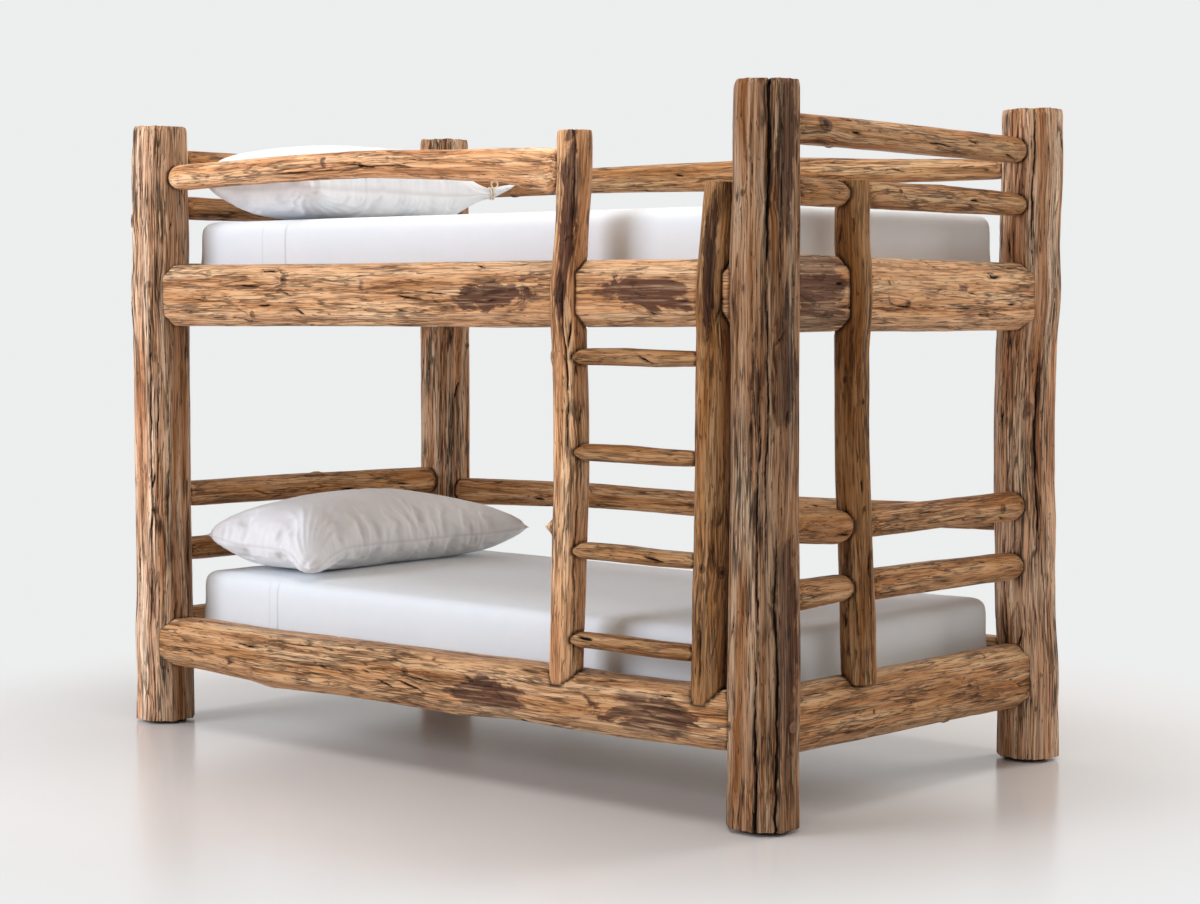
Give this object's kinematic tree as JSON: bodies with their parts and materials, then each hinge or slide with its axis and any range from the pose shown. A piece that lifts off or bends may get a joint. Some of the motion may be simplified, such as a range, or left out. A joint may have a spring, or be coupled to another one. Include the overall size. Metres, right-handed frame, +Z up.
{
  "type": "log bunk bed",
  "caption": "Rustic log bunk bed: hewn corner posts, tenoned log rails, guard rails, a fixed front ladder, slatted decks, mattresses and pillows.",
  "frame": {"origin": "on the floor under the middle of the bed", "axes": "+X along the length towards the foot end, -Y the ladder side, +Z up"},
  "size_m": [2.32, 1.296, 1.716],
  "materials": {
    "post_wood": "weathered hewn log, oiled",
    "rail_wood": "weathered peeled log, oiled",
    "sawn_pine": "plain sawn pine",
    "steel": "zinc plated",
    "rubber": "matt",
    "white_cotton": "plain woven cotton sheet",
    "cream_cotton": "plain woven cotton case"
  },
  "bodies": {
    "frame": {"post_head_front": "post_wood", "post_foot_front": "post_wood", "post_head_back": "post_wood", "post_foot_back": "post_wood", "pad_head_front": "rubber", "pad_foot_front": "rubber", "pad_head_back": "rubber", "pad_foot_back": "rubber", "upper_side_rail_front": "rail_wood", "lower_side_rail_front": "rail_wood", "upper_side_rail_back": "rail_wood", "lower_side_rail_back": "rail_wood", "upper_end_rail_head": "rail_wood", "lower_end_rail_head": "rail_wood", "upper_end_rail_foot": "rail_wood", "lower_end_rail_foot": "rail_wood", "upper_guard_back": "rail_wood", "lower_guard_back": "rail_wood", "head_guard_top": "rail_wood", "head_guard_second": "rail_wood", "head_guard_high": "rail_wood", "head_guard_low": "rail_wood", "foot_upright": "rail_wood", "foot_guard_top": "rail_wood", "foot_guard_second_front": "rail_wood", "foot_guard_second_back": "rail_wood", "foot_guard_high_front": "rail_wood", "foot_guard_high_back": "rail_wood", "foot_guard_low_front": "rail_wood", "foot_guard_low_back": "rail_wood", "ladder_stile_left": "rail_wood", "ladder_stile_right": "rail_wood", "ladder_rung_1": "rail_wood", "ladder_rung_2": "rail_wood", "ladder_rung_3": "rail_wood", "ladder_rung_4": "rail_wood", "front_guard_rail": "rail_wood", "lap_screw_foot_upright": "steel", "lap_screw_ladder_stile_left": "steel", "lap_screw_ladder_stile_right": "steel", "bolt_upper_head_front": "steel", "bolt_upper_foot_front": "steel", "bolt_upper_head_back": "steel", "bolt_upper_foot_back": "steel", "bolt_lower_head_front": "steel", "bolt_lower_foot_front": "steel", "bolt_lower_head_back": "steel", "bolt_lower_foot_back": "steel", "upper_cleat_front": "sawn_pine", "upper_cleat_back": "sawn_pine", "lower_cleat_front": "sawn_pine", "lower_cleat_back": "sawn_pine", "upper_slat_roll": "sawn_pine", "lower_slat_roll": "sawn_pine"},
    "upper_mattress": {"upper_mattress": "white_cotton"},
    "upper_pillow": {"upper_pillow": "cream_cotton"},
    "lower_mattress": {"lower_mattress": "white_cotton"},
    "lower_pillow": {"lower_pillow": "cream_cotton"}
  },
  "joints": [
    {"name": "upper_mattress_lift", "type": "slide", "parent": "frame", "child": "upper_mattress", "axis": [0, 0, 1], "range_m": [0, 0.5]},
    {"name": "upper_pillow_lift", "type": "slide", "parent": "upper_mattress", "child": "upper_pillow", "axis": [0, 0, 1], "range_m": [0, 0.25]},
    {"name": "lower_mattress_lift", "type": "slide", "parent": "frame", "child": "lower_mattress", "axis": [0, 0, 1], "range_m": [0, 0.25]},
    {"name": "lower_pillow_lift", "type": "slide", "parent": "lower_mattress", "child": "lower_pillow", "axis": [0, 0, 1], "range_m": [0, 0.2]}
  ]
}
